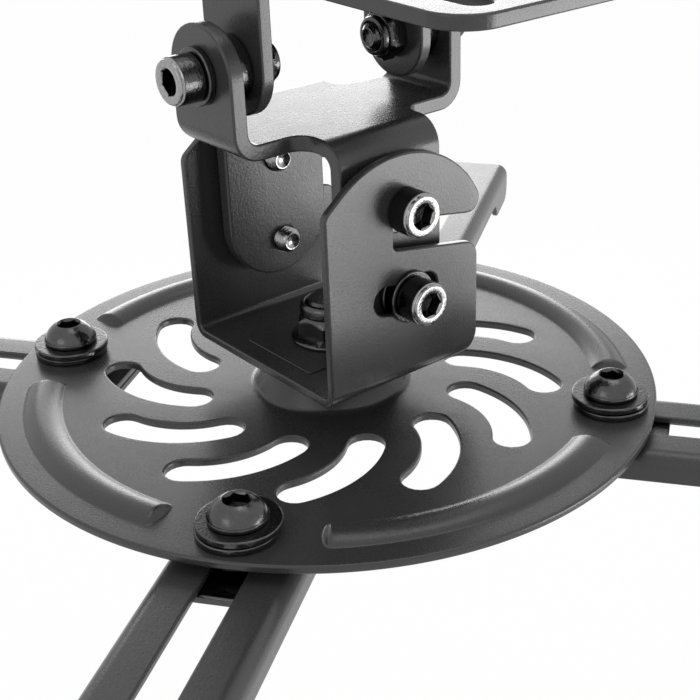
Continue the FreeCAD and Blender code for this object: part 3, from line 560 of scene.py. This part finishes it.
def round_plate():
    inner, outer, edge, thick = 21.0, 60.0, 78, 2.0
    # A quarter in degrees, closer together at the sloped ends of its bead
    steps = np.concatenate([np.arange(0, 12), np.arange(12, 17, 0.25), np.arange(17, 73),
                            np.arange(73, 78, 0.25), np.arange(78, 90)])
    angle = np.radians(np.concatenate([steps + 90 * k for k in range(4)]))
    columns = len(angle)

    def swept(profile):
        radius, height = np.array(profile).T[:, :, None]
        points = np.stack([radius * np.cos(angle), radius * np.sin(angle), height + 0 * angle], axis=-1)
        return points.reshape(-1, 3), rings_to_faces(len(profile), columns)

    rim = rounded([(outer, 0, 0), (edge, 0, 0.6), (edge, -thick, 0.6), (outer, -thick, 0)], closed=False,
                  steps=4)
    fine = np.concatenate([[outer, 61.5], np.arange(62.4, 64.6, 0.2), np.arange(64.8, 70.6, 0.5),
                           np.arange(70.8, 73.0, 0.2), [74.0, 75.5]])
    profile = [(r, 0.0) for r in fine] + [tuple(p) for p in rim[1:-1]] + [(r, -thick) for r in fine[::-1]]
    points, faces = swept(profile)
    points[:, 2] += bead_height(points[:, 0], points[:, 1])
    hub = rounded([(inner, 0, 0), (18.6, 0, 2.0), (13.4, 8.0, 2.5), (5.1, 8.0, 0.2), (5.1, 6.0, 0.2),
                   (12.3, 6.0, 0.8), (17.2, -thick, 3.5), (inner, -thick, 0)], closed=False, steps=7)
    ring = [wound(np.column_stack([r * np.cos(angle), r * np.sin(angle)]), left) for r, left in
            ((outer, True), (inner, False))]
    # Each slot follows an arc about a point that stands out from the plate's middle
    count, first, out = 12, -14.5, 32.4
    arc, slot_half, low, high = 24.5, 4.25, 37.7, 96.0
    slots = []
    for k in range(count):
        turn = 360 / count * k
        way = math.radians(first + turn)
        x, y = out * math.cos(way), out * math.sin(way)
        slots.append(curved_slot(x, y, arc, slot_half, low + turn, high + turn))
    web, web_faces = flat_sheet(ring[0], [ring[1]] + slots, thick, walls=range(2, 2 + count))
    web[:, 2] -= thick / 2
    shape = hung(joined((points, faces), swept([tuple(p) for p in hub]), (web, web_faces)), PLATE_TURN)
    add_piece("round_plate_pressed", shape, COATED, "round_plate")


# Arms: folded channels with a long slot and a deeper, eared end
def arms():
    thick, radius, start = 1.8, 2.7, 10.8
    top, flange_low, ear_low = -4.35, -11.35, -16.4
    inner, neck, ear, outer = 53, 149, 152, 171
    web = top - thick / 2
    past = start + radius * math.pi / 2

    def fall(z):
        """Flat distance from the middle line to height z on a flange."""
        return past + (web - radius - z)

    side = [(inner, fall(flange_low), 1.4), (neck, fall(flange_low), 2.5), (ear, fall(ear_low), 3.0),
            (outer, fall(ear_low), 4.9)]
    corners = [(x, -y, r) for x, y, r in side] + [(x, y, r) for x, y, r in reversed(side)]
    slot_from, slot_to, slot_half, eye, eye_rad = 61.3, 139, 3.95, 158, 2.75
    holes = [straight_slot(slot_from, slot_to, 0, slot_half), circle(eye, 0, eye_rad)]
    points, faces = creased(*flat_sheet(rounded(corners), holes, thick), bend_cuts(1, start, radius))
    points = bend(points, 1, start, radius, False)
    points[:, 2] += web
    for k, name in enumerate(ARM_NAMES):
        shape = hung((points, faces), PLATE_TURN + 90 * k)
        add_piece("arm_" + name + "_folded", shape, COATED, "arm_" + name)


# Screws, washers and nuts
def cap_head():
    """Profile of a socket head: under face, side, softened rim, face, countersunk hexagon socket."""
    return [(SCREW, 0.0), (4.7, 0.0), (5.0, -0.3), (5.0, -4.9), (4.92, -5.05), (4.62, -5.2), (4.56, -5.35),
            (4.66, -5.55), (4.6, -5.8), (4.42, -5.95), (4.2, -6.0), (3.1, -6.0), (2.95, -5.93),
            (2.55, -5.6, 0.9), (2.5, -5.4, 1.0), (2.5, -2.9, 1.0), (2.2, -2.8, 1.0), (0.0, -2.3)]


def cap_screw(node, length, origin, aim, spin, bare=False):
    head = lathe(cap_head())
    screw = joined(head, threaded(length), thread_seat(0.0))
    start, direction = hang([origin])[0], np.array(aim, float)
    face, socket, tip = -5.0 * MM, 2.6 * MM, 5.2 * MM

    def highlight_ring_and_tip(middles):
        """The face ring of the head, a painted highlight, and on a bare screw the end of its thread."""
        along = (middles - start) @ direction
        across = np.linalg.norm(middles - start - np.outer(along, direction), axis=1)
        ring = (along < face) & (across > socket)
        return ring | (along > tip) if bare else ring

    shape = hung(aimed(screw, origin, aim, spin))
    add_piece(node + "_turned", shape, OXIDE, node, STEEL, highlight_ring_and_tip)


def washer(node, outer, thick, origin, aim):
    shape = hung(aimed(soft_washer(outer, BORE, 0.0, thick), origin, aim))
    add_piece(node + "_pressed", shape, OXIDE, node)


def lock_nut():
    """A hexagon nut with coned corners and a rounded collar for its locking ring."""
    corner = NUT_HALF / math.cos(HEX_TURN / 2)
    cone = NUT_HALF * 1.03
    top = NUT_HIGH - 1.6
    profile = [(BORE, 0.0), (NUT_HALF * 0.93, 0.0), (NUT_HALF, 0.25, 1, cone), (NUT_HALF, 0.8, 1, corner),
               (NUT_HALF, top - 0.8, 1, corner), (NUT_HALF, top - 0.25, 1, cone), (NUT_HALF * 0.97, top),
               (NUT_COLLAR, top + 0.1), (NUT_COLLAR, NUT_HIGH - 0.7), (NUT_COLLAR - 0.25, NUT_HIGH - 0.2),
               (NUT_COLLAR - 0.9, NUT_HIGH), (BORE + 0.5, NUT_HIGH), (BORE, NUT_HIGH - 0.4)]
    return lathe(profile, closed=True)


def nut(node, origin, aim, spin):
    shape = hung(aimed(lock_nut(), origin, aim, spin))
    add_piece(node + "_turned", shape, OXIDE, node)


def tilt_and_roll_fasteners():
    washer_rad, spacer_rad = 6.0, 7.0
    cheek_out, tongue_out, lock_washer, shim = 26.55, 24.3, 0.95, 1.6
    pivot_long, lock_long, roll_long = 10.0, 11.2, 20.0
    for name, side in (("left", -1), ("right", 1)):
        aim = (-side, 0, 0)
        out = side * cheek_out
        lock = (out + side * lock_washer, LOCK_BACK, LOCK_UP)
        pivot_spin, lock_spin = (20, 32) if side > 0 else (5, 50)
        cap_screw("pivot_screw_" + name, pivot_long, (out, AXIS_BACK, PIVOT_UP), aim, pivot_spin, bare=True)
        cap_screw("lock_screw_" + name, lock_long, lock, aim, lock_spin, bare=True)
        washer("lock_washer_" + name, washer_rad, lock_washer, lock, aim)
        washer("pivot_shim_" + name, washer_rad, shim, (side * tongue_out, AXIS_BACK, PIVOT_UP), aim)
        washer("lock_shim_" + name, washer_rad, shim, (side * tongue_out, LOCK_BACK, LOCK_UP), aim)
    head_out, spacer_out, nut_out = 32.85, 27.65, 19.9
    roll_spin, roll_washer, roll_spacer, nut_spin = 10, 1.6, 4.7, 12
    for name, side in (("front", -1), ("rear", 1)):
        aim = (0, -side, 0)
        head = (0, AXIS_BACK + side * head_out, ROLL_UP)
        spacer = (0, AXIS_BACK + side * spacer_out, ROLL_UP)
        cap_screw("roll_screw_" + name, roll_long, head, aim, roll_spin)
        washer("roll_washer_" + name, washer_rad, roll_washer, head, aim)
        washer("roll_spacer_" + name, spacer_rad, roll_spacer, spacer, aim)
        nut("roll_nut_" + name, (0, AXIS_BACK + side * nut_out, ROLL_UP), aim, nut_spin)


def swivel_fasteners():
    hub_top, hub_thick, gap = 8.0, 2.0, 0.05
    under = hub_top - hub_thick - gap
    stud = [(0.0, under - 4.0), (7.6, under - 4.0), (8.3, under - 3.6), (8.5, under - 2.9),
            (8.5, under - 0.2), (8.3, under), (5.0, under), (5.0, 20.6), (4.4, 21.2), (0.0, 21.2)]
    add_piece("swivel_stud_turned", hung(lathe(stud)), OXIDE, "swivel_stud")
    disc = soft_washer(12.2, STUD_BORE, 8.1, 8.7, edge=0.2)
    add_piece("swivel_disc_cut", hung(disc), NYLON, "swivel_disc")
    pad_thick, pad_middle = 0.36, 10.88
    pad = flat_sheet(block(12.1, 15.3), [circle(0, 0, STUD_BORE)], pad_thick, edge=0.17)
    add_piece("swivel_pad_cut", hung(shifted(pad, z=pad_middle)), COATED, "swivel_pad")
    low, half = 11.06, 6.7
    corner = half / math.cos(HEX_TURN / 2)
    body = [(STUD_BORE, low), (8.5, low), (8.9, low + 0.12), (9.0, low + 0.4), (9.0, low + 0.75),
            (8.85, low + 1.0), (8.3, low + 1.25), (half, low + 1.9, 1, 7.75), (half, low + 2.2, 1, corner),
            (half, low + 5.0, 1, corner), (half, low + 5.6, 1, 7.1), (half, low + 6.0, 0.4, half * 1.02),
            (6.55, low + 6.3), (6.4, low + 6.5), (6.6, low + 6.7), (6.7, low + 7.1), (6.65, 19.6),
            (6.45, 20.2), (6.0, 20.6), (5.6, 20.6), (5.3, 20.3), (STUD_BORE, 19.9)]
    spin = 42
    shape = hung(lathe(body, closed=True), spin)
    add_piece("swivel_nut_turned", shape, OXIDE, "swivel_nut")


def arm_fasteners():
    seat, thread_long = 3.2, 18.4
    dome = [(SCREW, seat), (6.0, seat), (6.25, 3.32), (6.3, 3.5), (6.3, 4.15), (6.2, 4.35)]
    sweep = np.radians(np.linspace(10, 62, 10))
    dome += [(0.6 + 5.65 * math.cos(a), 3.0 + 5.45 * math.sin(a)) for a in sweep]
    dome += [(3.1, 7.88), (2.95, 7.9), (2.85, 7.8), (2.45, 7.3, 0.9), (2.4, 7.1, 1.0), (2.4, 5.4, 1.0),
             (2.1, 5.3, 1.0), (0.0, 4.8)]
    shank = shifted(threaded(thread_long), z=seat, upright=False)
    screw = joined(lathe(dome), shank, thread_seat(seat))
    # Two washers lie a little off the screw's middle, each its own way
    lower = shifted(soft_washer(8.7, BORE, 0.05, 1.5), 0.25, -0.2)
    upper = shifted(soft_washer(8.9, BORE, 1.62, 3.17), -0.1, 0.15)
    post = soft_washer(8.0, BORE, -4.3, -2.05, edge=0.3)
    grip_thick, grip_middle, nut_top = 2.0, -7.2, -8.2
    grip = shifted(flat_sheet(block(14.2, 10.4), [circle(0, 0, BORE)], grip_thick), z=grip_middle)
    end = shifted(lock_nut(), z=nut_top, upright=False)
    pieces = (("screw", "turned", screw), ("washers", "pressed", joined(lower, upper)),
              ("spacer", "turned", post), ("grip", "cut", grip), ("nut", "turned", end))
    for k, name in enumerate(ARM_NAMES):
        for what, how, shape in pieces:
            node = "arm_" + what + "_" + name
            placed = hung(shape, PLATE_TURN + 90 * k, PIN_OUT)
            add_piece(node + "_" + how, placed, OXIDE, node)


ceiling_plate()
saddle()
yoke()
round_plate()
arms()
tilt_and_roll_fasteners()
swivel_fasteners()
arm_fasteners()


# Studio: a pale floor far below and a pale world, both white to the camera, to gloss and to glass
def shows_background(recipe):
    """One for camera, glossy and transmission rays, else zero."""
    path = recipe.node("LightPath")
    camera, glossy, through = (Signal(recipe.tree, path.socket.node.outputs[name])
                               for name in ("Is Camera Ray", "Is Glossy Ray", "Is Transmission Ray"))
    return recipe.node("Math", {"operation": "MINIMUM"}, {0: camera + glossy + through, 1: 1.0})


def studio():
    ambient_level, floor_grey, floor_shown = 0.4, 0.85, 0.98
    world = bpy.data.worlds.new("studio")
    bpy.context.scene.world = world
    recipe = Recipe(world)
    ambient = recipe.node("Background", inputs={"Color": grey(1.0), "Strength": ambient_level})
    white = recipe.node("Background", inputs={"Color": grey(1.0), "Strength": 1.0})
    mix = recipe.node("MixShader", inputs={0: shows_background(recipe), 1: ambient, 2: white})
    recipe.node("OutputWorld", inputs={"Surface": mix})

    material = bpy.data.materials.new("floor_white")
    recipe = Recipe(material)
    paint = recipe.node("BsdfDiffuse", inputs={"Color": grey(floor_grey)})
    glow = recipe.node("Emission", inputs={"Color": grey(1.0), "Strength": 1.0})
    mix = recipe.node("MixShader", inputs={0: shows_background(recipe) * floor_shown, 1: paint, 2: glow})
    recipe.node("OutputMaterial", inputs={"Surface": mix})
    mesh = bpy.data.meshes.new("floor")
    half, level = 3.0, -0.5
    signs = ((-1, -1), (1, -1), (1, 1), (-1, 1))
    mesh.from_pydata([(x * half, y * half, level) for x, y in signs], [], [(0, 1, 2, 3)])
    mesh.materials.append(material)
    floor = bpy.data.objects.new("floor", mesh)
    bpy.context.scene.collection.objects.link(floor)


def lamp(name, place, size, power):
    """A rectangular lamp that looks at the middle of the mount."""
    light = bpy.data.lights.new(name, "AREA")
    light.shape = "RECTANGLE"
    light.size, light.size_y = size
    light.energy = power
    obj = bpy.data.objects.new(name, light)
    bpy.context.scene.collection.objects.link(obj)
    obj.location = place
    obj.visible_camera = False
    middle = Vector((0.0, 0.0, -0.07))
    obj.rotation_euler = (middle - Vector(place)).to_track_quat("-Z", "Y").to_euler()


studio()
lamp("softbox_back", place=(-0.91, 0.62, 0.10), size=(0.85, 0.58), power=6.0)
lamp("softbox_right", place=(0.674, 0.629, -0.34), size=(0.65, 0.52), power=6.8)
lamp("softbox_above", place=(0.1, 0.25, 1.2), size=(0.7, 0.7), power=2.5)
lamp("softbox_front", place=(0.2, -1.0, 0.3), size=(0.5, 0.4), power=0.8)


# Camera: the place and the lens of the photograph, fitted to the folds and circles in it
def camera():
    data = bpy.data.cameras.new("camera")
    data.sensor_width, data.lens = 36.0, 71.29
    data.shift_x, data.shift_y = -0.1352, 0.0675
    data.clip_start, data.clip_end = 0.01, 20.0
    obj = bpy.data.objects.new("camera", data)
    bpy.context.scene.collection.objects.link(obj)
    place = (0.23648, -0.18188, 0.05567)
    azimuth, elevation, roll = (math.radians(a) for a in (-42.601, 28.904, -0.1729))
    back = Vector((math.cos(elevation) * math.cos(azimuth), math.cos(elevation) * math.sin(azimuth),
                   math.sin(elevation)))
    right = Vector((0, 0, 1)).cross(back).normalized()
    up = back.cross(right)
    across = right * math.cos(roll) + up * math.sin(roll)
    upward = up * math.cos(roll) - right * math.sin(roll)
    turned = Matrix((across, upward, back)).transposed().to_4x4()
    obj.matrix_world = Matrix.Translation(place) @ turned
    bpy.context.scene.camera = obj


camera()
bpy.context.scene.view_settings.view_transform = "Standard"
